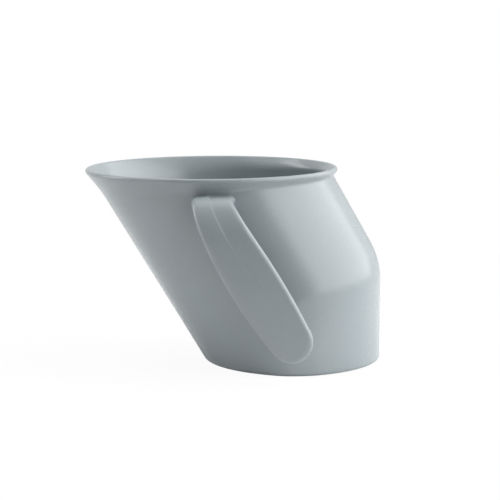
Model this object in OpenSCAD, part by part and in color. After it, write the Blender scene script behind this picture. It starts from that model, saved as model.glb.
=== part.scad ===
// Slanted training cup: a round body that leans over its foot, an upright heel,
// a flared oval rim with a rounded lip, and two open strap handles.
// The foot stands on z = 0 with its centre at the origin.
// The sipping lip points to -X, the heel to +X and the handles to -Y and +Y.

/* [Body] */
// Height from the table to the top of the lip
cup_h = 76; // [70:0.5:90]
// Diameter of the leaning body at the table, square to its lean
body_d = 78.5; // [72:0.1:88]
// Lean of the body from upright, in degrees
lean = 30.2; // [24:0.1:34]
// Widening of the body towards the rim, in degrees on each side
body_taper = 1.1; // [0:0.1:2]
// Thickness of the moulded wall
wall = 1.8; // [1.4:0.1:2.6]

/* [Heel] */
// Length of the foot from the front of the body to the back of the heel
foot_l = 68.5; // [62:0.1:76]
// Diameter of the upright heel at the table
heel_d = 79.2; // [74:0.1:88]
// Widening of the heel towards its top, in degrees on each side
heel_taper = 0.84; // [0:0.02:2]
// Half of the arc that the heel is round over, in degrees
heel_wrap = 70; // [60:1:80]
// Width of the soft crease where the heel meets the leaning body, at the back and at the table
crease = 4.4; // [2:0.1:8]
// Width of the crease at the sides of the heel
crease_side = 0.3; // [0.2:0.05:1]
// How fast the crease sharpens from the back of the heel to its sides
crease_fade = 3.5; // [1:0.1:5]

/* [Base] */
// Thickness of the floor
floor_t = 1.8; // [1.4:0.1:3]
// Height of the floor's underside above the table
foot_recess = 0.8; // [0.4:0.1:1.6]
// Radius of the rounded outer edge of the foot
foot_edge_r = 1.4; // [1:0.1:3]
// Radius inside, where the floor turns up into the wall
floor_corner_r = 3; // [2:0.1:6]

/* [Rim] */
// Height of the collar that carries the lip
collar_h = 5; // [4:0.1:6]
// How far the lip stands out beyond the body at the sipping side
flare_front = 1.4; // [1:0.1:3]
// How far the lip stands out beyond the body above the heel
flare_back = 3; // [2:0.1:5]
// How far the lip stands out beyond the body at each handle
flare_side = 2.2; // [1.4:0.1:4]
// Slope of the flare from upright at both ends of the rim, in degrees
flare_slope = 40; // [36:1:48]
// How much steeper the flare stands at the handles, in degrees
flare_ease = 8; // [0:1:10]
// Width of the soft line where the flare leaves the body
flare_soft = 0.7; // [0.4:0.1:1.6]
// Radius of the rounded lip
lip_r = 1.05; // [0.8:0.05:1.4]

/* [Handles] */
// Depth of the top of the handle's shelf below the collar
shelf_depth = 1.7; // [1:0.1:5]
// How far the middle of the shelf stands behind the body's axis
shelf_setback = 1.4; // [-4:0.1:8]
// Width of the shelf
shelf_w = 15.5; // [12:0.1:18]
// Width across the strap at its widest
strap_w = 19.7; // [17:0.1:23]
// Drop from the shelf to where the strap is widest
belly_drop = 27; // [22:0.1:34]
// Drop from the middle of the shelf to the apex of the strap's free end
strap_drop = 57.9; // [52:0.1:60]
// Thickness of the strap
strap_t = 3.2; // [2.8:0.1:4]
// Depth of the oval rounding of the strap's edges, through the strap
strap_edge_r = 1.4; // [0.6:0.1:1.4]
// Width of that rounding, across the strap
strap_edge_w = 2.2; // [1:0.1:3]
// Slant of the strap under the shelf, in degrees from upright
strap_slant = 26.9; // [20:0.1:32]
// How far the free end swings back from that slant
strap_sweep = 5.2; // [0:0.1:10]
// Length of the strap's rounded free end
tip_l = 8.5; // [6:0.1:10]
// Room for fingers between the strap and the body
finger_gap = 11; // [10:0.1:16]
// Radius inside the oval bend from the shelf to the strap, outwards
bend_r = 8.5; // [7:0.1:9.8]
// Drop from the shelf to the end of the bend
bend_drop = 16; // [12:0.1:20]
// Depth to which the shelf is let into the wall
seat = 1; // [0.6:0.1:1.2]

/* [Hidden] */

plastic = [0.56, 0.61, 0.63];
// Points around the cup and steps along its forms
turns = 72;
wall_steps = 14;
collar_steps = 4;
arc_steps = 5;
strap_steps = 12;
tip_steps = 15;
corner_steps = 3;
// A distance that no part of the cup reaches
far = 1000;
// Height that is left under the foot until it is cut flat
trim = 1;

floor_z = foot_recess + floor_t;
foot_top = floor_z + floor_corner_r;
collar_z = cup_h - collar_h;
lip_z = cup_h - lip_r;
axis_x = body_d / 2 / cos(lean) - foot_l / 2;
heel_x = foot_l / 2 - heel_d / 2;
rim_front = lean_x(lip_z) - body_r(lip_z) / cos(lean) - flare_front;
rim_back = lean_x(lip_z) + body_r(lip_z) / cos(lean) + flare_back;
rim_x = (rim_front + rim_back) / 2;
rim_half_l = (rim_back - rim_front) / 2;
rim_half_w = body_r(lip_z) + flare_side;
// Height above which only the back of the crease is soft
crease_z = cup_h / 3;
// Width of the soft line inside, which follows the outside at the wall's thickness
inner_soft = flare_soft + wall / 2;
strap_mid_r = bend_r + strap_t / 2;
shelf_mid_z = collar_z - shelf_depth - strap_t / 2;
shelf_x = lean_x(shelf_mid_z) + shelf_setback;
wall_y = body_r(shelf_mid_z);
strap_y = wall_y + finger_gap + strap_t / 2;

// Least and greatest of two distances, rounded over a width k where they are close
function soft_min(a, b, k) =
    let (h = max(k - abs(a - b), 0))
    min(a, b) - h * h / (4 * k);
function soft_max(a, b, k) = -soft_min(-a, -b, k);

// Leaning axis, body radius, heel radius and the middle of the section at height z
function lean_x(z) = axis_x - z * tan(lean);
function body_r(z) = body_d / 2 + z / cos(lean) * tan(body_taper);
function heel_r(z) = heel_d / 2 + z * tan(heel_taper);
function mid_x(z) = rim_x * z / lip_z;

// Distance from x = px along the angle to an oval about x = cx
function to_oval(px, angle, cx, half_l, half_w) =
    let (d = px - cx)
    let (a = pow(cos(angle) / half_l, 2) + pow(sin(angle) / half_w, 2))
    let (b = d * cos(angle) / pow(half_l, 2))
    let (c = pow(d / half_l, 2) - 1)
    (sqrt(b * b - a * c) - b) / a;

// Distance from x = px along the angle to the heel: a round back, then straight sides that spread
function to_heel(px, angle, r) =
    let (d = px - heel_x)
    let (round_back = sqrt(r * r - pow(d * sin(angle), 2)) - d * cos(angle))
    let (spread = cos(angle) * cos(heel_wrap) + abs(sin(angle)) * sin(heel_wrap))
    d + round_back * cos(angle) > r * cos(heel_wrap) ? round_back
    : spread > 0 ? min((r - d * cos(heel_wrap)) / spread, far)
    : far;

// Width of the crease at height z
function crease_at(z, angle) =
    let (back = pow(max(cos(angle), 0), crease_fade))
    max(crease * max(back, 1 - z / crease_z), crease_side);

// Distance to the body's surface at height z, t inside its outer face
function to_body(z, angle, t) =
    let (r = body_r(z) - t)
    let (leaning = to_oval(mid_x(z), angle, lean_x(z), r / cos(lean), r))
    soft_min(leaning, to_heel(mid_x(z), angle, heel_r(z) - t), crease_at(z, angle));

// Distance to the rim's oval grown by the offset, or nothing where it has shrunk away from the middle
function to_rim(z, angle, offset) =
    let (half_l = rim_half_l + offset)
    let (half_w = rim_half_w + offset)
    half_w > 0 && half_l > abs(mid_x(z) - rim_x) ? to_oval(mid_x(z), angle, rim_x, half_l, half_w) : 0;

// Slope of the flare in a direction, and the level distance through it
function slope_at(angle) = flare_slope - flare_ease * pow(sin(angle), 2);
function flare_through(angle) = 2 * lip_r * (sin(flare_slope) * tan(slope_at(angle)) + cos(flare_slope));

// Offset of the flare's outer face from the rim's outline at height z
function flare_offset(z, angle) =
    -lip_r * (1 - cos(flare_slope)) - (lip_z - lip_r * sin(flare_slope) - z) * tan(slope_at(angle));

// Rings of points at height z: any distances, the outer face, the inner face, and a rim offset
function ring(z, distances) =
    [for (i = [0:turns - 1])
        [mid_x(z) + distances[i] * cos(i * 360 / turns), distances[i] * sin(i * 360 / turns), z]];
function outer_ring(z) =
    ring(z, [for (i = [0:turns - 1])
        let (angle = i * 360 / turns)
        soft_max(to_body(z, angle, 0), to_rim(z, angle, flare_offset(z, angle)), flare_soft)]);
function inner_ring(z) =
    ring(z, [for (i = [0:turns - 1])
        let (angle = i * 360 / turns)
        let (offset = flare_offset(z, angle) - flare_through(angle))
        soft_max(to_body(z, angle, wall), to_rim(z, angle, offset), inner_soft)]);
function body_ring(z, t) = ring(z, [for (i = [0:turns - 1]) to_body(z, i * 360 / turns, t)]);
function lip_ring(angle) =
    let (z = lip_z + lip_r * sin(angle))
    let (offset = lip_r * cos(angle) - lip_r)
    ring(z, [for (i = [0:turns - 1]) to_rim(z, i * 360 / turns, offset)]);
function at_height(points, z) = [for (p = points) [p[0], p[1], z]];

// A closed band through rings of points, the last ring joined to the first
module band(rings) {
    count = len(rings);
    size = len(rings[0]);
    faces = [for (i = [0:count - 1], j = [0:size - 1])
        let (k = (i + 1) % count, n = (j + 1) % size)
        each [[i * size + j, k * size + j, k * size + n], [i * size + j, k * size + n, i * size + n]]];
    polyhedron(points = [for (r = rings) each r], faces = faces, convexity = 8);
}

// A closed bar through rings of points, flat at both ends
module bar(rings) {
    count = len(rings);
    size = len(rings[0]);
    sides = [for (i = [0:count - 2], j = [0:size - 1])
        let (n = (j + 1) % size)
        each [[i * size + j, (i + 1) * size + j, (i + 1) * size + n],
              [i * size + j, (i + 1) * size + n, i * size + n]]];
    start = [for (j = [0:size - 1]) j];
    end = [for (j = [size - 1:-1:0]) (count - 1) * size + j];
    polyhedron(points = [for (r = rings) each r], faces = concat([start], sides, [end]), convexity = 8);
}

// Inner edge of the foot ring, which the floor fits
function floor_edge() = body_ring(floor_z, wall + floor_corner_r);

module base_floor() {
    color(plastic)
    translate([0, 0, foot_recess])
    linear_extrude(floor_t)
    polygon([for (p = floor_edge()) [p[0], p[1]]]);
}

module foot_ring() {
    edge = [for (i = [0:arc_steps])
        let (angle = 90 * i / arc_steps)
        body_ring(foot_edge_r * (1 - cos(angle)), foot_edge_r * (1 - sin(angle)))];
    corner = [for (i = [0:arc_steps])
        let (angle = 90 * i / arc_steps)
        body_ring(foot_top - floor_corner_r * sin(angle), wall + floor_corner_r * (1 - cos(angle)))];
    rings = concat(
        [at_height(edge[0], -trim)], edge, [body_ring(foot_top, 0)],
        corner, [at_height(floor_edge(), -trim)]);
    color(plastic)
    difference() {
        band(rings);
        translate([0, 0, -2 * trim])
        cylinder(h = 2 * trim, d = 2 * foot_l);
    }
}

module slanted_wall() {
    heights = [for (i = [0:wall_steps]) foot_top + (collar_z - foot_top) * i / wall_steps];
    rings = concat(
        [for (z = heights) outer_ring(z)],
        [for (i = [wall_steps:-1:0]) inner_ring(heights[i])]);
    color(plastic)
    difference() {
        band(rings);
        strap();
        mirror([0, 1, 0])
        strap();
    }
}

module rim_collar() {
    lip_start = lip_z - lip_r * sin(flare_slope);
    lip_end = lip_z + lip_r * sin(flare_slope);
    rings = concat(
        [for (i = [0:collar_steps - 1]) outer_ring(collar_z + (lip_start - collar_z) * i / collar_steps)],
        [for (i = [0:arc_steps]) lip_ring((90 + flare_slope) * i / arc_steps - flare_slope)],
        [for (i = [1:arc_steps]) lip_ring(90 + (90 - flare_slope) * i / arc_steps)],
        [for (i = [1:collar_steps]) inner_ring(lip_end - (lip_end - collar_z) * i / collar_steps)]);
    color(plastic)
    band(rings);
}

// Centre line of the strap seen from the side: x at a drop below the shelf, and the slant at its end
function strap_x(drop) = shelf_x + drop * tan(strap_slant) + strap_sweep * pow(drop / strap_drop, 2);
end_slant = atan(tan(strap_slant) + 2 * strap_sweep / strap_drop);
tip_drop = strap_drop - tip_l * cos(end_slant);

// Half width across the strap, which closes over the rounded end
function strap_reach(drop) =
    let (full = strap_w - (strap_w - shelf_w) * pow(1 - min(drop, tip_drop) / belly_drop, 2))
    let (past = max(drop - tip_drop, 0) / (strap_drop - tip_drop))
    full / 2 * sqrt(1 - past * past);

// Half thickness of the strap, which rounds off towards the apex of its end
function strap_half_t(drop) =
    let (left = min((strap_drop - drop) / cos(end_slant) / strap_edge_w, 1))
    strap_t / 2 - strap_edge_r * (1 - sqrt(left * (2 - left)));

// Section of the strap: across and through, with rounded edges
function strap_section(drop) =
    let (reach = strap_reach(drop))
    let (half_t = strap_half_t(drop))
    let (r = min(strap_edge_r, half_t))
    let (w = min(strap_edge_w, reach))
    [for (corner = [0:3], i = [0:corner_steps])
        let (angle = 90 * corner + 90 * i / corner_steps)
        [sign(cos(90 * corner + 45)) * (reach - w) + w * cos(angle),
         sign(sin(90 * corner + 45)) * (half_t - r) + r * sin(angle)]];

// A point of the strap at x, a drop and a height through it: over the oval bend first, then down
function on_strap(x, drop, through) =
    let (angle = drop < bend_drop ? acos(1 - drop / bend_drop) : 90)
    let (tilt = atan2(sin(angle) * bend_drop, cos(angle) * strap_mid_r))
    let (out = strap_y - strap_mid_r * (1 - sin(angle)))
    [x, -(out + through * sin(tilt)), shelf_mid_z - drop + through * cos(tilt)];

// A ring of the strap, which turns square to the centre line on its way to the end
function strap_ring(drop) =
    let (turn = end_slant * min(drop / tip_drop, 1))
    [for (p = strap_section(drop))
        on_strap(strap_x(drop) + p[0] * cos(turn), drop - p[0] * sin(turn), p[1])];

// One handle on the -Y side: a shelf out of the wall, a bend, and a strap with a rounded free end
module strap() {
    root = [for (p = strap_section(0)) [shelf_x + p[0], seat - wall_y, shelf_mid_z + p[1]]];
    bend = [for (i = [0:2 * arc_steps]) strap_ring(bend_drop * (1 - cos(90 * i / (2 * arc_steps))))];
    down = [for (i = [1:strap_steps])
        strap_ring(bend_drop + (tip_drop - bend_drop) * i / strap_steps)];
    tip = [for (i = [1:tip_steps - 1])
        strap_ring(tip_drop + (strap_drop - tip_drop) * sin(90 * i / tip_steps))];
    bar(concat([root], bend, down, tip));
}

module right_handle() {
    color(plastic)
    strap();
}

module left_handle() {
    color(plastic)
    mirror([0, 1, 0])
    strap();
}

base_floor();
foot_ring();
slanted_wall();
rim_collar();
left_handle();
right_handle();
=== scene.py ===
"""Dressed scene of a slanted training cup: a smooth shell, two strap handles and a studio."""

import logging
import math
from dataclasses import dataclass, field
from enum import Enum

import bmesh
import bpy
import numpy as np
from mathutils import Matrix, Vector


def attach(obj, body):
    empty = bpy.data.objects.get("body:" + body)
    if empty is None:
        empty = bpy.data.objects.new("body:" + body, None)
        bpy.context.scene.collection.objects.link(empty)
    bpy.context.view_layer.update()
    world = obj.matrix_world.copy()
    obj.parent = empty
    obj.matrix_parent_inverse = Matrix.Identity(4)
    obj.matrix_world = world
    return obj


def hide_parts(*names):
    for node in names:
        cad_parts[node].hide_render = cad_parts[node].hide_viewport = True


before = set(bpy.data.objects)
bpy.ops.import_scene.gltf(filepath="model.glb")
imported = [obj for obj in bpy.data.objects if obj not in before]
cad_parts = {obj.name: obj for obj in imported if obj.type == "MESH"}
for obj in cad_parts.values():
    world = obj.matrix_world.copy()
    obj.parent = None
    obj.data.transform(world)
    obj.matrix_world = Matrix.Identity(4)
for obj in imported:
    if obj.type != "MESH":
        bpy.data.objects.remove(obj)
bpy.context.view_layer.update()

MM = 0.001
BODY = "root"

# Millimetres: past every face of the cup, and a gap between heights that counts as none.
FAR = 1000.0
SAME_HEIGHT = 1e-6
# Metres: points closer than this become one, and shorter edges are dissolved.
MERGE_GAP = 1e-7
SHORT_EDGE = 1e-8
# Keeps a divisor away from zero.
TINY = 1e-9
WHITE = (1.0, 1.0, 1.0, 1.0)

Face = tuple[int, ...]
Span = tuple[float, float]
Triple = tuple[float, float, float]
Socket = bpy.types.NodeSocket

log = logging.getLogger("cup")


class Side(Enum):
    """The side of the cup that a handle stands on, as the sign of its Y."""

    RIGHT = -1
    LEFT = 1


class Blend(Enum):
    """How two numbers of a node tree become one."""

    GREATER = "MAXIMUM"
    PRODUCT = "MULTIPLY"


def soft_min(a: np.ndarray, b: np.ndarray, width: float | np.ndarray) -> np.ndarray:
    """Lesser of two distances, rounded where they differ by less than a width."""
    near = np.maximum(width - np.abs(a - b), 0.0)
    return np.minimum(a, b) - near * near / (4.0 * width)


def soft_max(a: np.ndarray, b: np.ndarray, width: float) -> np.ndarray:
    """Greater of two distances, rounded where they differ by less than a width."""
    return -soft_min(-a, -b, width)


def quarter_turn(steps: int) -> np.ndarray:
    """Angles over a quarter turn in radians, both ends included."""
    return np.linspace(0.0, math.pi / 2, steps + 1)


def outwards(azimuth: float, elevation: float) -> Vector:
    """Direction away from the cup, in degrees from the front towards the heel, and upwards."""
    a, e = math.radians(azimuth), math.radians(elevation)
    return Vector((math.sin(a) * math.cos(e), -math.cos(a) * math.cos(e), math.sin(e)))


def put_in_scene(name: str, data: bpy.types.ID) -> bpy.types.Object:
    """Makes an object and links it to the scene.

    Args:
        name: Name of the object.
        data: Its mesh, lamp or camera.

    Returns:
        The linked object.
    """
    piece = bpy.data.objects.new(name, data)
    bpy.context.scene.collection.objects.link(piece)
    return piece


def mesh_piece(name: str, points: np.ndarray, faces: list[Face]) -> bpy.types.Object:
    """Makes a smooth mesh object from points in millimetres.

    Args:
        name: Name of the piece.
        points: Vertex positions, one row each.
        faces: Vertex numbers of each face.

    Returns:
        The linked object, with its normals outwards.
    """
    mesh = bpy.data.meshes.new(name)
    mesh.from_pydata((points * MM).tolist(), [], faces)
    work = bmesh.new()
    work.from_mesh(mesh)
    bmesh.ops.remove_doubles(work, verts=work.verts, dist=MERGE_GAP)
    bmesh.ops.dissolve_degenerate(work, edges=work.edges, dist=SHORT_EDGE)
    bmesh.ops.recalc_face_normals(work, faces=work.faces)
    for face in work.faces:
        face.smooth = True
    work.to_mesh(mesh)
    work.free()
    return put_in_scene(name, mesh)


def loft(count: int, size: int) -> list[Face]:
    """Quads between closed rings that follow each other.

    Args:
        count: Number of rings.
        size: Points in each ring.

    Returns:
        Vertex numbers of each quad, ring by ring.
    """
    quads: list[Face] = []
    for low in range(0, (count - 1) * size, size):
        high = low + size
        for j in range(size):
            n = (j + 1) % size
            quads.append((low + j, low + n, high + n, high + j))
    return quads


@dataclass(frozen=True)
class CupForm:
    """Driving sizes of the cup in millimetres and degrees, and the sections that follow.

    A section is level and holds distances from its own middle, one for each direction.
    """

    # Leaning body.
    height: float = 76.0
    body_d: float = 78.5
    lean: float = 30.2
    body_taper: float = 1.1
    wall: float = 1.8
    # Upright heel, and the crease where the body meets it.
    foot_l: float = 68.5
    heel_d: float = 79.2
    heel_taper: float = 0.84
    heel_wrap: float = 70.0
    crease: float = 4.4
    crease_side: float = 0.3
    crease_fade: float = 3.5
    crease_foot: float = 3.0
    # Floor and foot.
    floor_t: float = 1.8
    foot_recess: float = 0.8
    foot_edge_r: float = 1.4
    floor_corner_r: float = 3.0
    # Collar with its flare and lip.
    collar_h: float = 5.0
    flare_front: float = 1.4
    flare_back: float = 3.0
    flare_side: float = 2.2
    flare_slope: float = 40.0
    flare_ease: float = 8.0
    flare_soft: float = 0.7
    lip_r: float = 1.05
    # Directions that a search for the side's face covers.
    side_span: Span = (20.0, 170.0)
    side_points: int = 601

    @property
    def floor_z(self) -> float:
        """Height of the inner floor."""
        return self.foot_recess + self.floor_t

    @property
    def foot_top(self) -> float:
        """Height at which the inner floor corner ends."""
        return self.floor_z + self.floor_corner_r

    @property
    def collar_z(self) -> float:
        """Height at which the rim collar starts."""
        return self.height - self.collar_h

    @property
    def lip_z(self) -> float:
        """Height of the middle of the round lip."""
        return self.height - self.lip_r

    @property
    def slope(self) -> float:
        """Slope of the flare at the front and back, in radians."""
        return math.radians(self.flare_slope)

    @property
    def lip_start(self) -> float:
        """Height at which the flare's outer face runs into the lip."""
        return self.lip_z - self.lip_r * math.sin(self.slope)

    @property
    def lip_end(self) -> float:
        """Height at which the lip runs into the flare's inner face."""
        return self.lip_z + self.lip_r * math.sin(self.slope)

    @property
    def lean_cos(self) -> float:
        """Cosine of the body's lean."""
        return math.cos(math.radians(self.lean))

    @property
    def heel_x(self) -> float:
        """Middle of the heel's round back."""
        return self.foot_l / 2 - self.heel_d / 2

    @property
    def rim_ends(self) -> Span:
        """Front and back end of the rim's outline.

        Returns:
            The X of both ends.
        """
        reach = self.body_r(self.lip_z) / self.lean_cos
        middle = self.lean_x(self.lip_z)
        return middle - reach - self.flare_front, middle + reach + self.flare_back

    @property
    def rim_x(self) -> float:
        """Middle of the rim's outline."""
        return sum(self.rim_ends) / 2

    def lean_x(self, z: float) -> float:
        """Leaning axis at a height."""
        start = self.body_d / 2 / self.lean_cos - self.foot_l / 2
        return start - z * math.tan(math.radians(self.lean))

    def body_r(self, z: float) -> float:
        """Radius of the leaning body at a height."""
        return self.body_d / 2 + z / self.lean_cos * math.tan(math.radians(self.body_taper))

    def heel_r(self, z: float) -> float:
        """Radius of the heel at a height."""
        return self.heel_d / 2 + z * math.tan(math.radians(self.heel_taper))

    def mid_x(self, z: float) -> float:
        """Middle of the section at a height."""
        return self.rim_x * z / self.lip_z

    def flare_rise(self, turn: np.ndarray) -> np.ndarray:
        """Outward run of the flare for each step up, in each direction."""
        return np.tan(np.radians(self.flare_slope - self.flare_ease * np.sin(turn) ** 2))

    def flare_offset(self, z: float, turn: np.ndarray) -> np.ndarray:
        """Offset of the flare's outer face from the rim's outline at a height."""
        past_lip = self.lip_r * (1 - math.cos(self.slope))
        return -past_lip - (self.lip_start - z) * self.flare_rise(turn)

    def crease_at(self, z: float, turn: np.ndarray) -> np.ndarray:
        """Width of the crease at a height, soft at the back and near the table.

        Args:
            z: Height of the section.
            turn: Directions in radians.

        Returns:
            One width for each direction.
        """
        back = np.maximum(np.cos(turn), 0.0) ** self.crease_fade
        soft = self.crease * np.maximum(back, 1 - self.crease_foot * z / self.height)
        return np.maximum(soft, self.crease_side)

    @staticmethod
    def to_oval(
        start: float, turn: np.ndarray, middle: float, half_l: float, half_w: float
    ) -> np.ndarray:
        """Distance from a point on the X axis to an oval.

        Args:
            start: X of the point.
            turn: Directions in radians.
            middle: X of the oval's middle.
            half_l: Half length along X.
            half_w: Half width along Y.

        Returns:
            One distance for each direction.
        """
        d = start - middle
        a = (np.cos(turn) / half_l) ** 2 + (np.sin(turn) / half_w) ** 2
        b = d * np.cos(turn) / half_l**2
        c = (d / half_l) ** 2 - 1
        return (np.sqrt(b * b - a * c) - b) / a

    def to_heel(self, start: float, turn: np.ndarray, r: float) -> np.ndarray:
        """Distance from a point on the X axis to the heel: a round back, then straight sides.

        Args:
            start: X of the point.
            turn: Directions in radians.
            r: Radius of the round back.

        Returns:
            One distance for each direction.
        """
        wrap = math.radians(self.heel_wrap)
        d = start - self.heel_x
        back = np.sqrt(r * r - (d * np.sin(turn)) ** 2) - d * np.cos(turn)
        spread = np.cos(turn) * math.cos(wrap) + np.abs(np.sin(turn)) * math.sin(wrap)
        straight = (r - d * math.cos(wrap)) / np.maximum(spread, TINY)
        side = np.where(spread > 0, np.minimum(straight, FAR), FAR)
        return np.where(d + back * np.cos(turn) > r * math.cos(wrap), back, side)

    def to_body(self, z: float, turn: np.ndarray, inside: float) -> np.ndarray:
        """Distance to the body's surface at a height.

        Args:
            z: Height of the section.
            turn: Directions in radians.
            inside: How far the surface lies inside the outer face.

        Returns:
            One distance for each direction.
        """
        r = self.body_r(z) - inside
        leaning = self.to_oval(self.mid_x(z), turn, self.lean_x(z), r / self.lean_cos, r)
        heel = self.to_heel(self.mid_x(z), turn, self.heel_r(z) - inside)
        return soft_min(leaning, heel, self.crease_at(z, turn))

    def to_rim(self, z: float, turn: np.ndarray, offset: np.ndarray) -> np.ndarray:
        """Distance to the rim's oval, grown by an offset.

        Args:
            z: Height of the section.
            turn: Directions in radians.
            offset: Growth of the oval in each direction, which may be negative.

        Returns:
            One distance for each direction, or zeros where the oval misses the middle.
        """
        front, back = self.rim_ends
        middle = self.mid_x(z)
        half_l = (back - front) / 2 + offset
        half_w = self.body_r(self.lip_z) + self.flare_side + offset
        found = (half_w > 0) & (half_l > abs(middle - self.rim_x))
        half_l, half_w = np.where(found, half_l, FAR), np.where(found, half_w, FAR)
        return np.where(found, self.to_oval(middle, turn, self.rim_x, half_l, half_w), 0.0)

    def outer(self, z: float, turn: np.ndarray) -> np.ndarray:
        """Distance to the outer face, flare included."""
        rim = self.to_rim(z, turn, self.flare_offset(z, turn))
        return soft_max(self.to_body(z, turn, 0.0), rim, self.flare_soft)

    def inner(self, z: float, turn: np.ndarray) -> np.ndarray:
        """Distance to the inner face, flare included.

        Args:
            z: Height of the section.
            turn: Directions in radians.

        Returns:
            One distance for each direction.
        """
        across = math.sin(self.slope) * self.flare_rise(turn) + math.cos(self.slope)
        rim = self.to_rim(z, turn, self.flare_offset(z, turn) - 2 * self.lip_r * across)
        return soft_max(self.to_body(z, turn, self.wall), rim, self.flare_soft + self.wall / 2)

    def side_y(self, x: np.ndarray, z: np.ndarray) -> np.ndarray:
        """Half width of the outer face at points of its side.

        Args:
            x: Positions along the cup.
            z: Heights, one for each position.

        Returns:
            Distance of the outer face from the middle plane at each point.
        """
        turn = np.radians(np.linspace(*self.side_span, self.side_points))
        found = np.empty(len(x))
        for i, (px, pz) in enumerate(zip(x, z)):
            reach = self.outer(pz, turn)
            along = self.mid_x(pz) + reach * np.cos(turn)
            found[i] = np.interp(-px, -along, reach * np.sin(turn))
        return found


class Moulding:
    """A piece of the cup that is moulded from the plastic."""

    def dress(self, piece: bpy.types.Object, material: bpy.types.Material) -> None:
        """Gives the piece its plastic."""
        piece.data.materials.append(material)


@dataclass
class CupShell(Moulding):
    """Seamless shell of the cup: underside, foot, wall, flare, lip, inside and floor."""

    form: CupForm
    name: str = "cup_shell"
    nodes: tuple[str, ...] = ("base_floor", "foot_ring", "slanted_wall", "rim_collar")
    # Round of the recess's edge, and how far below the collar the rings draw closer.
    recess_round: float = 0.35
    close_below: float = 7.0
    # Fineness of the mesh.
    around: int = 224
    wall_rings: int = 64
    flare_rings: int = 36
    arc_rings: int = 10
    disc_rings: int = 9
    recess_rings: int = 4
    turn: np.ndarray = field(init=False)

    def __post_init__(self) -> None:
        """Sets the directions that every ring follows."""
        self.turn = np.arange(self.around) * 2 * math.pi / self.around

    @property
    def close_z(self) -> float:
        """Height above which the rings are closer."""
        return self.form.collar_z - self.close_below

    def ring(self, z: float, reach: np.ndarray, middle: float) -> np.ndarray:
        """Ring of points at a height, by their distances from a middle on the X axis."""
        x = middle + reach * np.cos(self.turn)
        return np.stack([x, reach * np.sin(self.turn), np.full_like(reach, z)], axis=1)

    def level_ring(self, z: float, reach: np.ndarray) -> np.ndarray:
        """Ring about the middle of the section at its own height."""
        return self.ring(z, reach, self.form.mid_x(z))

    def floor_edge(self) -> np.ndarray:
        """Distance to the edge of the flat floor in each direction."""
        f = self.form
        return f.to_body(f.floor_z, self.turn, f.wall + f.floor_corner_r)

    def shares(self) -> np.ndarray:
        """Growing shares of a disc's radius, without its middle and its edge."""
        return np.linspace(0.0, 1.0, self.disc_rings + 1)[1:-1]

    def underside(self) -> list[np.ndarray]:
        """Rings of the recessed underside.

        Returns:
            The rings from its middle out to the standing face.
        """
        f, r = self.form, self.recess_round
        middle, edge = f.mid_x(f.floor_z), self.floor_edge()
        rings = [self.ring(f.foot_recess, (edge - r) * share, middle) for share in self.shares()]
        for a in quarter_turn(self.recess_rings):
            z = f.foot_recess - r * (1 - math.cos(a))
            rings.append(self.ring(z, edge - r + r * math.sin(a), middle))
        for a in quarter_turn(self.recess_rings):
            z = r * (1 - math.sin(a))
            rings.append(self.ring(z, edge + r * (1 - math.cos(a)), middle))
        return rings

    def outside(self) -> list[np.ndarray]:
        """Rings of the outer face.

        Returns:
            The rings from the standing face up to the lip.
        """
        f = self.form
        rings = []
        for a in quarter_turn(self.arc_rings):
            z, inset = f.foot_edge_r * (1 - math.cos(a)), f.foot_edge_r * (1 - math.sin(a))
            rings.append(self.level_ring(z, f.to_body(z, self.turn, inset)))
        heights = np.concatenate([
            np.linspace(f.foot_edge_r, self.close_z, self.wall_rings)[1:],
            np.linspace(self.close_z, f.lip_start, self.flare_rings)[1:-1],
        ])
        return rings + [self.level_ring(z, f.outer(z, self.turn)) for z in heights]

    def lip(self) -> list[np.ndarray]:
        """Rings of the full-round lip.

        Returns:
            The rings from its outer face over to its inner face.
        """
        f = self.form
        first, last = -f.flare_slope, 180.0 - f.flare_slope
        rings = []
        for a in np.radians(np.linspace(first, last, 2 * self.arc_rings + 1)):
            z = f.lip_z + f.lip_r * math.sin(a)
            offset = np.full_like(self.turn, f.lip_r * (math.cos(a) - 1))
            rings.append(self.level_ring(z, f.to_rim(z, self.turn, offset)))
        return rings

    def inside(self) -> list[np.ndarray]:
        """Rings of the inner face.

        Returns:
            The rings from the lip down to the middle of the floor.
        """
        f = self.form
        heights = np.concatenate([
            np.linspace(f.lip_end, self.close_z, self.flare_rings)[1:],
            np.linspace(self.close_z, f.foot_top, self.wall_rings)[1:-1],
        ])
        rings = [self.level_ring(z, f.inner(z, self.turn)) for z in heights]
        for a in quarter_turn(self.arc_rings):
            z = f.foot_top - f.floor_corner_r * math.sin(a)
            inset = f.wall + f.floor_corner_r * (1 - math.cos(a))
            rings.append(self.level_ring(z, f.to_body(z, self.turn, inset)))
        edge = self.floor_edge()
        return rings + [self.level_ring(f.floor_z, edge * share) for share in self.shares()[::-1]]

    def faces(self, count: int) -> list[Face]:
        """Faces between the rings, and a fan at each end.

        Args:
            count: Number of rings, which two poles follow: underside and floor.

        Returns:
            Vertex numbers of each face.
        """
        size = self.around
        faces = loft(count, size)
        under, floor, end = count * size, count * size + 1, (count - 1) * size
        for j in range(size):
            n = (j + 1) % size
            faces += [(under, n, j), (floor, end + j, end + n)]
        return faces

    def build(self) -> bpy.types.Object:
        """Lofts all rings into one closed piece that stands for the four CAD nodes.

        Returns:
            The shell.
        """
        f = self.form
        rings = self.underside() + self.outside() + self.lip() + self.inside()
        middle = f.mid_x(f.floor_z)
        poles = [[middle, 0.0, f.foot_recess], [middle, 0.0, f.floor_z]]
        points = np.concatenate(rings + [np.array(poles)])
        piece = mesh_piece(self.name, points, self.faces(len(rings)))
        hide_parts(*self.nodes)
        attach(piece, BODY)
        return piece


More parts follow.
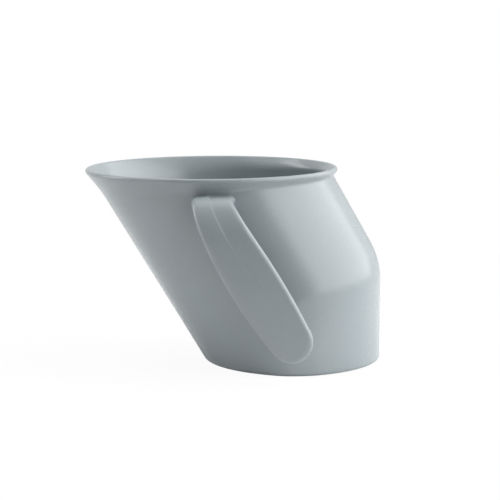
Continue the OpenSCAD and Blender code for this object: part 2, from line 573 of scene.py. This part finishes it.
@dataclass
class StrapHandle(Moulding):
    """One strap handle: a shelf out of the wall, a bend, and a strap with a rounded free end.

    The strap is laid out flat, as positions along the cup and lengths from the wall, and bent
    into place on the right side. Drops are measured down from the middle of the shelf.
    """

    form: CupForm
    side: Side
    name: str
    node: str
    # Shelf, its fillet at the wall and how deep its end is let into the wall.
    shelf_depth: float = 1.7
    shelf_setback: float = 1.4
    shelf_w: float = 15.5
    root_r: float = 0.5
    root_bury: float = 0.5
    # Strap with its bulged outline, oval edges and rounded end.
    strap_w: float = 19.7
    belly_drop: float = 27.0
    strap_drop: float = 57.9
    strap_t: float = 3.2
    edge_r: float = 1.4
    edge_w: float = 2.2
    slant: float = 26.9
    sweep: float = 5.2
    tip_l: float = 8.5
    # Bend between the shelf and the strap.
    finger_gap: float = 11.0
    bend_r: float = 8.5
    bend_drop: float = 16.0
    # Parting line: shares across at its two ends, width, and lengths along the strap with the
    # fall behind the line and the rise before it at each.
    seam_at: Span = (0.368, 0.597)
    seam_w: float = 0.5
    seam_s: tuple[float, ...] = (0.0, 9.0, 33.0, 41.0)
    seam_fall: tuple[float, ...] = (0.1, 0.1, 0.1, 0.0)
    seam_rise: tuple[float, ...] = (0.35, 0.0, 0.0, 0.0)
    # Fineness of the mesh, and of the table that turns lengths into drops.
    root_rings: int = 8
    bend_rings: int = 26
    strap_rings: int = 40
    tip_rings: int = 22
    across: int = 4
    seam_steps: int = 8
    round_steps: int = 7
    bend_steps: int = 720
    drop_steps: int = 4000
    drop_past: float = 5.0

    @property
    def mid_r(self) -> float:
        """Radius of the bend at the middle of the strap's thickness."""
        return self.bend_r + self.strap_t / 2

    @property
    def shelf_z(self) -> float:
        """Height of the middle of the shelf."""
        return self.form.collar_z - self.shelf_depth - self.strap_t / 2

    @property
    def wall_y(self) -> float:
        """Half width of the leaning body at the shelf."""
        return self.form.body_r(self.shelf_z)

    @property
    def strap_y(self) -> float:
        """Distance of the strap's middle from the middle plane of the cup."""
        return self.wall_y + self.finger_gap + self.strap_t / 2

    @property
    def shelf_run(self) -> float:
        """Length of the shelf between the wall and the bend."""
        return self.strap_y - self.mid_r - self.wall_y

    @property
    def end_slant(self) -> float:
        """Slant of the centre line at the free end, in radians."""
        return math.atan(math.tan(math.radians(self.slant)) + 2 * self.sweep / self.strap_drop)

    @property
    def tip_drop(self) -> float:
        """Drop at which the rounded end starts."""
        return self.strap_drop - self.tip_l * math.cos(self.end_slant)

    def centre_x(self, drop: float) -> float:
        """Centre line of the strap at a drop.

        Args:
            drop: Drop below the shelf.

        Returns:
            X of the centre line.
        """
        start = self.form.lean_x(self.shelf_z) + self.shelf_setback
        lean = drop * math.tan(math.radians(self.slant))
        return start + lean + self.sweep * (drop / self.strap_drop) ** 2

    def reach(self, drop: float) -> float:
        """Half width across the strap, which closes over the rounded end.

        Args:
            drop: Drop below the shelf.

        Returns:
            The half width, square to the centre line.
        """
        rest = 1 - min(drop, self.tip_drop) / self.belly_drop
        full = self.strap_w - (self.strap_w - self.shelf_w) * rest**2
        past = max(drop - self.tip_drop, 0.0) / (self.strap_drop - self.tip_drop)
        return full / 2 * math.sqrt(max(1 - past * past, 0.0))

    def along(self, drop: np.ndarray) -> np.ndarray:
        """Lengths along the strap's middle down to given drops.

        Args:
            drop: Drops below the shelf.

        Returns:
            One length from the wall for each drop.
        """
        turns = quarter_turn(self.bend_steps)
        out, fall = self.mid_r * np.sin(turns), self.bend_drop * (1 - np.cos(turns))
        lengths = np.concatenate([[0.0], np.cumsum(np.hypot(np.diff(out), np.diff(fall)))])
        past = np.maximum(drop - self.bend_drop, 0.0)
        return self.shelf_run + np.interp(drop, fall, lengths) + past

    def drops(self) -> np.ndarray:
        """Drops of the sections past the shelf.

        Returns:
            The drops from the start of the bend to the apex of the free end.
        """
        bend = self.bend_drop * (1 - np.cos(quarter_turn(self.bend_rings)))
        down = np.linspace(self.bend_drop, self.tip_drop, self.strap_rings + 1)
        closing = np.sin(quarter_turn(self.tip_rings))
        tip = self.tip_drop + (self.strap_drop - self.tip_drop) * closing
        return np.concatenate([bend[1:], down[1:], tip[1:]])

    def root_stations(self) -> np.ndarray:
        """Distances from the wall of the sections in the shelf, the first one inside the wall."""
        out = self.shelf_run * (1 - np.cos(quarter_turn(self.root_rings)))
        return np.concatenate([[-self.root_bury], out])

    def edges(self) -> tuple[np.ndarray, np.ndarray]:
        """Front and back edges of the strap laid flat.

        Returns:
            Two arrays of x and length along the strap, paired row by row from the wall to the apex.
        """
        half, middle = self.reach(0.0), self.centre_x(0.0)
        pairs = [((middle - half, s), (middle + half, s)) for s in self.root_stations()]
        for drop in self.drops():
            turn = self.end_slant * min(drop / self.tip_drop, 1.0)
            half, middle = self.reach(drop), self.centre_x(drop)
            aside, down = half * math.cos(turn), half * math.sin(turn)
            pairs.append((
                (middle - aside, self.along(drop + down)),
                (middle + aside, self.along(drop - down)),
            ))
        both = np.array(pairs)
        return both[:, 0], both[:, 1]

    @staticmethod
    def normals(edge: np.ndarray, outside: float) -> np.ndarray:
        """Unit normals of an edge laid flat.

        Args:
            edge: Points of the edge.
            outside: Sign that turns the normals to the outside.

        Returns:
            One normal for each point.
        """
        along = np.gradient(edge, axis=0)
        along /= np.linalg.norm(along, axis=1)[:, None]
        return outside * np.stack([along[:, 1], -along[:, 0]], axis=1)

    def seam_band(self, s: float) -> Span:
        """Where the parting line crosses a section.

        Args:
            s: Length along the strap.

        Returns:
            Middle and half width of the line, as shares across the strap.
        """
        first, last = self.seam_at
        middle = first + (last - first) * min(max(s / self.seam_s[-1], 0.0), 1.0)
        return middle, self.seam_w / self.strap_w / 2

    def seam_step(self, share: np.ndarray, s: float) -> np.ndarray:
        """How far the outer face lies below its plain level: a step at the parting line.

        Args:
            share: Shares across the strap.
            s: Length along the strap.

        Returns:
            One depth for each share, none at both edges, and less than none before the line.
        """
        seam, near = self.seam_band(s)
        down = np.clip((share - seam + near) / (2 * near), 0.0, 1.0)
        down = down * down * (3 - 2 * down)
        before = np.clip(share / (seam - near), 0.0, 1.0)
        behind = np.clip((1 - share) / (1 - seam - near), 0.0, 1.0)
        rise = before * np.interp(s, self.seam_s, self.seam_rise)
        fall = behind * np.interp(s, self.seam_s, self.seam_fall)
        return fall * down - rise * (1 - down)

    def section(self, s: float) -> tuple[np.ndarray, np.ndarray, np.ndarray]:
        """Loop round one section of the strap, from the front edge over the outer face.

        Args:
            s: Length along the strap.

        Returns:
            Share across between the two edges, inset from the nearer edge and height through the
            strap, one row for each point of the loop.
        """
        half, r, w = self.strap_t / 2, self.edge_r, self.edge_w
        seam, near = self.seam_band(s)
        face = np.concatenate([
            np.linspace(0.0, seam - near, self.across + 1),
            np.linspace(seam - near, seam + near, self.seam_steps + 1)[1:-1],
            np.linspace(seam + near, 1.0, self.across + 1),
        ])
        turns = quarter_turn(self.round_steps)[::-1]
        inset, rise = w * (1 - np.cos(turns)), r * np.sin(turns)
        inset = np.concatenate([inset, inset[::-1]])[1:-1]
        through = np.concatenate([half - r + rise, (r - half - rise)[::-1]])[1:-1]
        flat = np.ones(len(face))
        edge = np.ones(len(inset))
        share = [face, edge, face[::-1], edge * 0.0]
        depth = [flat * w, inset, flat * w, inset]
        level = [flat * half, through, flat * -half, through[::-1]]
        return np.concatenate(share), np.concatenate(depth), np.concatenate(level)

    def place(self, x: np.ndarray, s: np.ndarray, through: np.ndarray) -> np.ndarray:
        """Bends points of the flat strap into place on the right side.

        Args:
            x: Positions across the cup's length.
            s: Lengths along the strap from the wall.
            through: Heights through the strap, outwards.

        Returns:
            The points, one row each.
        """
        table = np.linspace(0.0, self.strap_drop + self.drop_past, self.drop_steps + 1)
        drop = np.interp(s, self.along(table), table)
        turn = np.arccos(np.maximum(1 - drop / self.bend_drop, 0.0))
        tilt = np.arctan2(np.sin(turn) * self.bend_drop, np.cos(turn) * self.mid_r)
        out = self.strap_y - self.mid_r * (1 - np.sin(turn))
        z = self.shelf_z - drop + through * np.cos(tilt)
        return np.stack([x, -out - through * np.sin(tilt), z], axis=1)

    def root_ring(
        self, x: np.ndarray, s: float, through: np.ndarray, share: np.ndarray, inset: np.ndarray
    ) -> np.ndarray:
        """Ring of the root, which spreads into a fillet and follows the wall.

        Args:
            x: Positions across the cup's length.
            s: Distance from the wall.
            through: Heights through the strap.
            share: Shares across the strap.
            inset: Insets from the nearer edge.

        Returns:
            The points, one row each.
        """
        rise = max(s, 0.0) * self.root_r / self.shelf_run
        spread = self.root_r - math.sqrt(max(self.root_r**2 - (self.root_r - rise) ** 2, 0.0))
        half, r = self.strap_t / 2, self.edge_r
        level = np.clip((np.abs(through) - (half - r)) / r, 0.0, 1.0) * np.sign(through)
        aside = np.clip(1 - inset / self.edge_w, 0.0, 1.0) * np.where(share > 0.5, 1.0, -1.0)
        x = x + spread * aside
        z = self.shelf_z + through + spread * level
        wall = self.form.side_y(x, z)
        end = self.wall_y + self.shelf_run
        y = wall + (s if s < 0 else (end - wall) * s / self.shelf_run)
        return np.stack([x, -y, z], axis=1)

    def rings(self) -> list[np.ndarray]:
        """Rings of the strap from inside the wall to the apex of its free end.

        Returns:
            One array of points for each ring.
        """
        front, back = self.edges()
        front_n, back_n = self.normals(front, -1.0), self.normals(back, 1.0)
        apex = front_n[-1] + back_n[-1]
        front_n[-1] = back_n[-1] = apex / np.linalg.norm(apex)
        root_count = len(self.root_stations())
        made = []
        for i in range(len(front)):
            s = (front[i, 1] + back[i, 1]) / 2
            share, inset, through = self.section(s)
            a = front[i] - front_n[i] * inset[:, None]
            b = back[i] - back_n[i] * inset[:, None]
            flat = a + (b - a) * share[:, None]
            outer_face = through >= self.strap_t / 2 - SAME_HEIGHT
            through = through - np.where(outer_face, self.seam_step(share, s), 0.0)
            if i < root_count:
                made.append(self.root_ring(flat[:, 0], s, through, share, inset))
            else:
                made.append(self.place(flat[:, 0], flat[:, 1], through))
        return made

    def build(self) -> bpy.types.Object:
        """Lofts the rings into one closed strap that stands for its CAD node.

        Returns:
            The handle.
        """
        rings = self.rings()
        size = len(rings[0])
        points = np.concatenate(rings)
        points[:, 1] *= -self.side.value
        root_end = tuple(range(size))
        piece = mesh_piece(self.name, points, loft(len(rings), size) + [root_end])
        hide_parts(self.node)
        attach(piece, BODY)
        return piece


@dataclass(frozen=True)
class NodeSheet:
    """Nodes of one material or of the world, with short ways to add and join them."""

    tree: bpy.types.NodeTree

    def add(self, kind: str) -> bpy.types.Node:
        """Adds a node of a kind."""
        return self.tree.nodes.new(kind)

    def join(self, source: Socket, target: Socket) -> None:
        """Links an output to an input."""
        self.tree.links.new(source, target)

    def blend(self, how: Blend, first: Socket, second: Socket) -> Socket:
        """Makes one number of two.

        Args:
            how: The way to do so.
            first: Output with the first number.
            second: Output with the second number.

        Returns:
            Output with the result.
        """
        node = self.add("ShaderNodeMath")
        node.operation = how.value
        self.join(first, node.inputs[0])
        self.join(second, node.inputs[1])
        return node.outputs["Value"]

    def stretch(self, value: Socket, old: Span, new: Span = (0.0, 1.0)) -> Socket:
        """Maps a number from one span to another, and holds it at both ends.

        Args:
            value: Output with the number.
            old: Span that the number comes from.
            new: Span that it goes to.

        Returns:
            Output with the result.
        """
        node = self.add("ShaderNodeMapRange")
        for name, end in zip(("From Min", "From Max", "To Min", "To Max"), old + new):
            node.inputs[name].default_value = end
        self.join(value, node.inputs["Value"])
        return node.outputs["Result"]

    def mirrored(self, path: bpy.types.Node) -> Socket:
        """1 for a ray that comes off a gloss or through glass, otherwise 0."""
        gloss, glass = path.outputs["Is Glossy Ray"], path.outputs["Is Transmission Ray"]
        return self.blend(Blend.GREATER, gloss, glass)

    def mix(self, share: Socket, first: Socket, second: Socket, end: bpy.types.Node) -> None:
        """Mixes two shaders into the end of the tree.

        Args:
            share: Output with the share of the second shader.
            first: Output of the first shader.
            second: Output of the second shader.
            end: The node at the end.
        """
        node = self.add("ShaderNodeMixShader")
        self.join(share, node.inputs["Fac"])
        self.join(first, node.inputs[1])
        self.join(second, node.inputs[2])
        self.join(node.outputs["Shader"], end.inputs["Surface"])


@dataclass(frozen=True)
class MouldedPlastic:
    """Opaque blue-grey plastic with a soft gloss, a faint grain and slow flow clouds."""

    name: str = "blue_grey_plastic"
    light: Triple = (0.306, 0.346, 0.362)
    dark: Triple = (0.290, 0.328, 0.343)
    cloud_scale: float = 28.0
    cloud_detail: float = 3.0
    grain_scale: float = 2600.0
    grain_detail: float = 2.0
    grain_depth: float = 0.000004
    noise_band: Span = (0.3, 0.7)
    gloss: Span = (0.22, 0.28)
    ior: float = 1.56

    def build(self) -> bpy.types.Material:
        """Makes the node material.

        Returns:
            The plastic.
        """
        material = bpy.data.materials.new(self.name)
        material.use_nodes = True
        sheet = NodeSheet(material.node_tree)
        shader = material.node_tree.nodes["Principled BSDF"]
        place = sheet.add("ShaderNodeTexCoord")
        clouds, grain = sheet.add("ShaderNodeTexNoise"), sheet.add("ShaderNodeTexNoise")
        clouds.inputs["Scale"].default_value = self.cloud_scale
        clouds.inputs["Detail"].default_value = self.cloud_detail
        grain.inputs["Scale"].default_value = self.grain_scale
        grain.inputs["Detail"].default_value = self.grain_detail
        for texture in (clouds, grain):
            sheet.join(place.outputs["Object"], texture.inputs["Vector"])
        tint = sheet.add("ShaderNodeValToRGB")
        colours = (self.dark, self.light)
        for stop, at, colour in zip(tint.color_ramp.elements, self.noise_band, colours):
            stop.position, stop.color = at, (*colour, 1.0)
        sheet.join(clouds.outputs["Fac"], tint.inputs["Fac"])
        sheet.join(tint.outputs["Color"], shader.inputs["Base Color"])
        gloss = sheet.stretch(grain.outputs["Fac"], self.noise_band, self.gloss)
        sheet.join(gloss, shader.inputs["Roughness"])
        bump = sheet.add("ShaderNodeBump")
        bump.inputs["Distance"].default_value = self.grain_depth
        sheet.join(grain.outputs["Fac"], bump.inputs["Height"])
        sheet.join(bump.outputs["Normal"], shader.inputs["Normal"])
        shader.inputs["IOR"].default_value = self.ior
        return material


@dataclass(frozen=True)
class WhiteFloor:
    """Pale floor, white to the camera and, away from the cup, to mirrored rays.

    Close to the cup it is partly matt to the camera, so that it holds the soft shadow.
    """

    name: str = "studio_floor"
    half_size: float = 0.5
    front: float = 0.3
    colour: Triple = (0.85, 0.85, 0.85)
    matt_share: float = 0.07
    fade: Span = (0.12, 0.3)

    def dress(self, floor: bpy.types.Object) -> None:
        """Makes the floor's node material and gives it to the floor.

        Args:
            floor: The floor.
        """
        material = bpy.data.materials.new(self.name)
        material.use_nodes = True
        material.node_tree.nodes.clear()
        sheet = NodeSheet(material.node_tree)
        path, place = sheet.add("ShaderNodeLightPath"), sheet.add("ShaderNodeTexCoord")
        away = sheet.add("ShaderNodeVectorMath")
        away.operation = "LENGTH"
        sheet.join(place.outputs["Object"], away.inputs[0])
        white = sheet.stretch(away.outputs["Value"], self.fade, (1.0 - self.matt_share, 1.0))
        far = sheet.stretch(away.outputs["Value"], self.fade)
        direct = sheet.blend(Blend.PRODUCT, path.outputs["Is Camera Ray"], white)
        panels = sheet.blend(Blend.PRODUCT, sheet.mirrored(path), far)
        matt = sheet.add("ShaderNodeBsdfDiffuse")
        matt.inputs["Color"].default_value = (*self.colour, 1.0)
        glow = sheet.add("ShaderNodeEmission")
        sheet.mix(
            sheet.blend(Blend.GREATER, direct, panels),
            matt.outputs["BSDF"],
            glow.outputs["Emission"],
            sheet.add("ShaderNodeOutputMaterial"),
        )
        floor.data.materials.append(material)

    def build(self) -> bpy.types.Object:
        """Makes the floor and dresses it.

        Returns:
            The floor.
        """
        h, front = self.half_size / MM, self.front / MM
        points = np.array([[-h, -front, 0.0], [h, -front, 0.0], [h, h, 0.0], [-h, h, 0.0]])
        floor = mesh_piece(self.name, points, [(0, 1, 2, 3)])
        self.dress(floor)
        return floor


@dataclass(frozen=True)
class Softbox:
    """A soft lamp that faces the cup, with its azimuth and elevation and the size of its face."""

    name: str
    at: Span
    level: float
    face: Span
    mirrored: bool = True
    distance: float = 1.2
    aim: Triple = (-0.015, 0.0, 0.04)

    def build(self) -> bpy.types.Object:
        """Makes the lamp, level 1 being a white face.

        Returns:
            The lamp.
        """
        lamp = bpy.data.lights.new(self.name, "AREA")
        lamp.shape = "RECTANGLE"
        lamp.size, lamp.size_y = self.face
        lamp.energy = self.level * math.pi * self.face[0] * self.face[1]
        piece = put_in_scene(self.name, lamp)
        out = outwards(*self.at)
        piece.location = Vector(self.aim) + out * self.distance
        piece.rotation_euler = out.to_track_quat("Z", "Y").to_euler()
        piece.visible_camera = False
        piece.visible_glossy = self.mirrored
        return piece


@dataclass(frozen=True)
class Studio:
    """Soft lamps, and a world that is white to the camera and dim as a light.

    Mirrored in the plastic it is white at the sides, dark in front and grey straight behind.
    """

    name: str = "studio"
    ambient: float = 0.05
    dark_front: Span = (-0.78, -0.74)
    grey_back: Span = (0.85, 0.98)
    back_level: float = 0.6
    lamps: tuple[Softbox, ...] = (
        Softbox("right_wall", at=(88.0, 25.0), level=2.25, face=(2.4, 1.2)),
        Softbox("right_key", at=(92.0, 45.0), level=5.3, face=(0.8, 0.5), mirrored=False),
        Softbox("left_strip", at=(-92.0, 24.0), level=3.6, face=(0.4, 1.1)),
        Softbox("left_front", at=(-70.0, 38.0), level=2.9, face=(0.5, 0.5), mirrored=False),
        Softbox("back", at=(180.0, 38.0), level=4.0, face=(0.55, 0.55), mirrored=False),
        Softbox("top", at=(-135.0, 80.0), level=2.2, face=(1.0, 1.0), mirrored=False),
    )

    @staticmethod
    def depth(sheet: NodeSheet, direction: Socket) -> Socket:
        """Y of a direction, -1 being the front and 1 the back.

        Args:
            sheet: The world's nodes.
            direction: Output with the direction.

        Returns:
            Output with its Y.
        """
        axes = sheet.add("ShaderNodeSeparateXYZ")
        sheet.join(direction, axes.inputs["Vector"])
        return axes.outputs["Y"]

    def panels(self, sheet: NodeSheet) -> Socket:
        """Level of the world as the plastic mirrors it.

        Args:
            sheet: The world's nodes.

        Returns:
            Output with the level in each direction.
        """
        place = sheet.add("ShaderNodeTexCoord")
        flat, level = sheet.add("ShaderNodeVectorMath"), sheet.add("ShaderNodeVectorMath")
        flat.operation, level.operation = "MULTIPLY", "NORMALIZE"
        flat.inputs[1].default_value = (1.0, 1.0, 0.0)
        sheet.join(place.outputs["Generated"], flat.inputs[0])
        sheet.join(flat.outputs["Vector"], level.inputs[0])
        around = sheet.stretch(self.depth(sheet, level.outputs["Vector"]), self.dark_front)
        straight = self.depth(sheet, place.outputs["Generated"])
        behind = sheet.stretch(straight, self.grey_back, (1.0, self.back_level))
        return sheet.blend(Blend.PRODUCT, around, behind)

    def build(self) -> None:
        """Makes the world and the lamps."""
        scene = bpy.context.scene
        scene.view_settings.view_transform = "Standard"
        world = bpy.data.worlds.new(self.name)
        world.use_nodes = True
        world.node_tree.nodes.clear()
        scene.world = world
        sheet = NodeSheet(world.node_tree)
        path = sheet.add("ShaderNodeLightPath")
        fill, white = sheet.add("ShaderNodeBackground"), sheet.add("ShaderNodeBackground")
        for backdrop, strength in ((fill, self.ambient), (white, 1.0)):
            backdrop.inputs["Color"].default_value = WHITE
            backdrop.inputs["Strength"].default_value = strength
        panels = sheet.blend(Blend.PRODUCT, sheet.mirrored(path), self.panels(sheet))
        sheet.mix(
            sheet.blend(Blend.GREATER, path.outputs["Is Camera Ray"], panels),
            fill.outputs["Background"],
            white.outputs["Background"],
            sheet.add("ShaderNodeOutputWorld"),
        )
        for lamp in self.lamps:
            lamp.build()


@dataclass(frozen=True)
class PhotoCamera:
    """Camera at the photograph's viewing angle, for a square image."""

    name: str = "photo_camera"
    target: Triple = (-0.01667, 0.0, 0.04303)
    distance: float = 0.8534
    azimuth: float = 5.002
    elevation: float = 8.467
    roll: float = -0.487
    focal_share: float = 4.32698
    sensor: float = 36.0
    nearest: float = 0.01

    def build(self) -> bpy.types.Object:
        """Makes the camera and gives it to the scene.

        Returns:
            The camera.
        """
        a, r = math.radians(self.azimuth), math.radians(self.roll)
        back = outwards(self.azimuth, self.elevation)
        level = Vector((math.cos(a), math.sin(a), 0.0))
        upright = back.cross(level)
        right = level * math.cos(r) + upright * math.sin(r)
        up = upright * math.cos(r) - level * math.sin(r)
        data = bpy.data.cameras.new(self.name)
        data.sensor_width = self.sensor
        data.lens = self.focal_share * self.sensor
        data.clip_start = self.nearest
        camera = put_in_scene(self.name, data)
        turn = Matrix((right, up, back)).transposed().to_4x4()
        camera.matrix_world = Matrix.Translation(Vector(self.target) + back * self.distance) @ turn
        bpy.context.scene.camera = camera
        return camera


def main() -> None:
    """Builds the camera, the studio and every piece of the cup in order."""
    logging.basicConfig(level=logging.INFO, format="%(name)s: %(message)s")
    PhotoCamera().build()
    Studio().build()
    WhiteFloor().build()
    plastic = MouldedPlastic().build()
    form = CupForm()
    parts = [
        CupShell(form),
        StrapHandle(form, Side.RIGHT, "right_strap", "right_handle"),
        StrapHandle(form, Side.LEFT, "left_strap", "left_handle"),
    ]
    for part in parts:
        piece = part.build()
        part.dress(piece, plastic)
        log.info("%s: %d faces", piece.name, len(piece.data.polygons))


if __name__ == "__main__":
    main()
